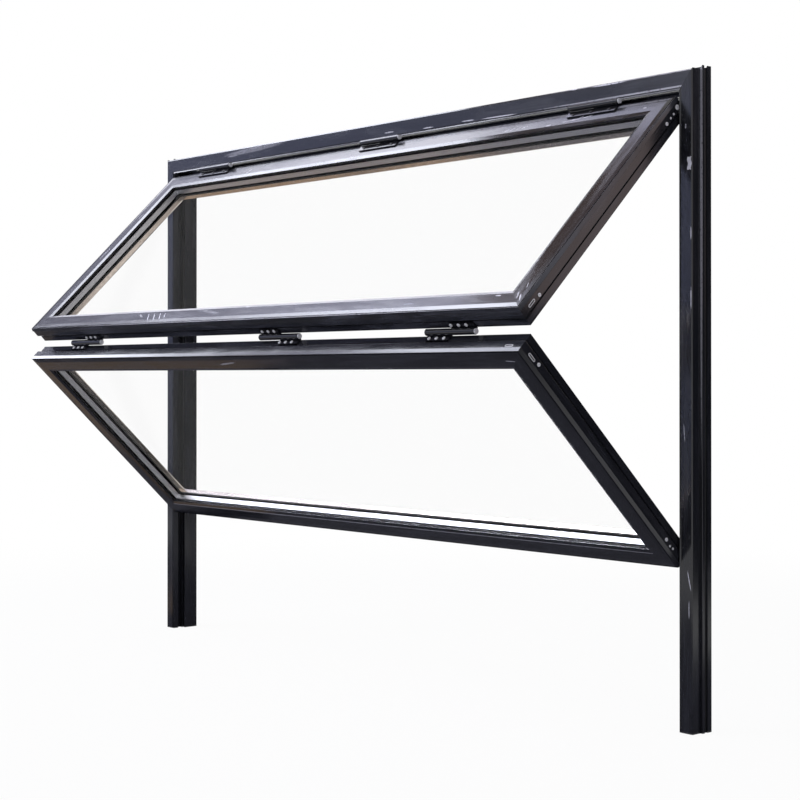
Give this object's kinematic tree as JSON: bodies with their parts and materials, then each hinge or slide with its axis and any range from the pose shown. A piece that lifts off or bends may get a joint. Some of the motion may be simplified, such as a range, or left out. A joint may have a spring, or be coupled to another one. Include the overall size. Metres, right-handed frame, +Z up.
{
  "type": "fold-up awning window",
  "caption": "Dark grey aluminium fold-up awning window without a sill: an upper sash hinged to the head and a lower sash hinged to it, double glazed, folded half open.",
  "frame": {"origin": "middle of the head's upper fixing face, on the inside profile", "axes": "+X along the head, to the right seen from outside; +Y towards the room; +Z up, out of the head's upper fixing face"},
  "size_m": [1.726, 0.4696, 1.2],
  "materials": {
    "frame_powder_coat": "satin anthracite powder coat on aluminium",
    "sash_powder_coat": "satin anthracite powder coat on aluminium",
    "bead_anodised": "champagne anodised aluminium",
    "thermal_break_polyamide": "extruded glass-filled polyamide",
    "gasket_rubber": "matt black extruded rubber",
    "pane_glass": "clear float glass",
    "spacer_aluminium": "perforated mill-finish aluminium",
    "hinge_coat": "dark coated steel",
    "hinge_pin_steel": "plain stainless steel",
    "guide_coat": "dark coated zinc casting",
    "roller_nylon": "black nylon"
  },
  "bodies": {
    "root": {"head_hinge_centre_frame_leaf": "hinge_coat", "head_hinge_centre_sash_leaf": "hinge_coat", "head_hinge_left_frame_leaf": "hinge_coat", "head_hinge_left_sash_leaf": "hinge_coat", "head_hinge_pins": "hinge_pin_steel", "head_hinge_right_frame_leaf": "hinge_coat", "head_hinge_right_sash_leaf": "hinge_coat", "head_inner_profile": "frame_powder_coat", "head_outer_profile": "frame_powder_coat", "head_thermal_break": "thermal_break_polyamide", "left_guide_bracket": "guide_coat", "left_guide_roller": "roller_nylon", "left_jamb_inner_profile": "frame_powder_coat", "left_jamb_outer_profile": "frame_powder_coat", "left_jamb_thermal_break": "thermal_break_polyamide", "lower_sash_bottom_rail": "sash_powder_coat", "lower_sash_glazing_beads": "bead_anodised", "lower_sash_inner_gasket": "gasket_rubber", "lower_sash_inner_pane": "pane_glass", "lower_sash_left_stile": "sash_powder_coat", "lower_sash_outer_gasket": "gasket_rubber", "lower_sash_outer_pane": "pane_glass", "lower_sash_right_stile": "sash_powder_coat", "lower_sash_spacer": "spacer_aluminium", "lower_sash_top_rail": "sash_powder_coat", "middle_hinge_centre_lower_leaf": "hinge_coat", "middle_hinge_centre_upper_leaf": "hinge_coat", "middle_hinge_left_lower_leaf": "hinge_coat", "middle_hinge_left_upper_leaf": "hinge_coat", "middle_hinge_pins": "hinge_pin_steel", "middle_hinge_right_lower_leaf": "hinge_coat", "middle_hinge_right_upper_leaf": "hinge_coat", "right_guide_bracket": "guide_coat", "right_guide_roller": "roller_nylon", "right_jamb_inner_profile": "frame_powder_coat", "right_jamb_outer_profile": "frame_powder_coat", "right_jamb_thermal_break": "thermal_break_polyamide", "upper_sash_bottom_rail": "sash_powder_coat", "upper_sash_glazing_beads": "bead_anodised", "upper_sash_inner_gasket": "gasket_rubber", "upper_sash_inner_pane": "pane_glass", "upper_sash_left_stile": "sash_powder_coat", "upper_sash_outer_gasket": "gasket_rubber", "upper_sash_outer_pane": "pane_glass", "upper_sash_right_stile": "sash_powder_coat", "upper_sash_spacer": "spacer_aluminium", "upper_sash_top_rail": "sash_powder_coat"}
  },
  "joints": []
}
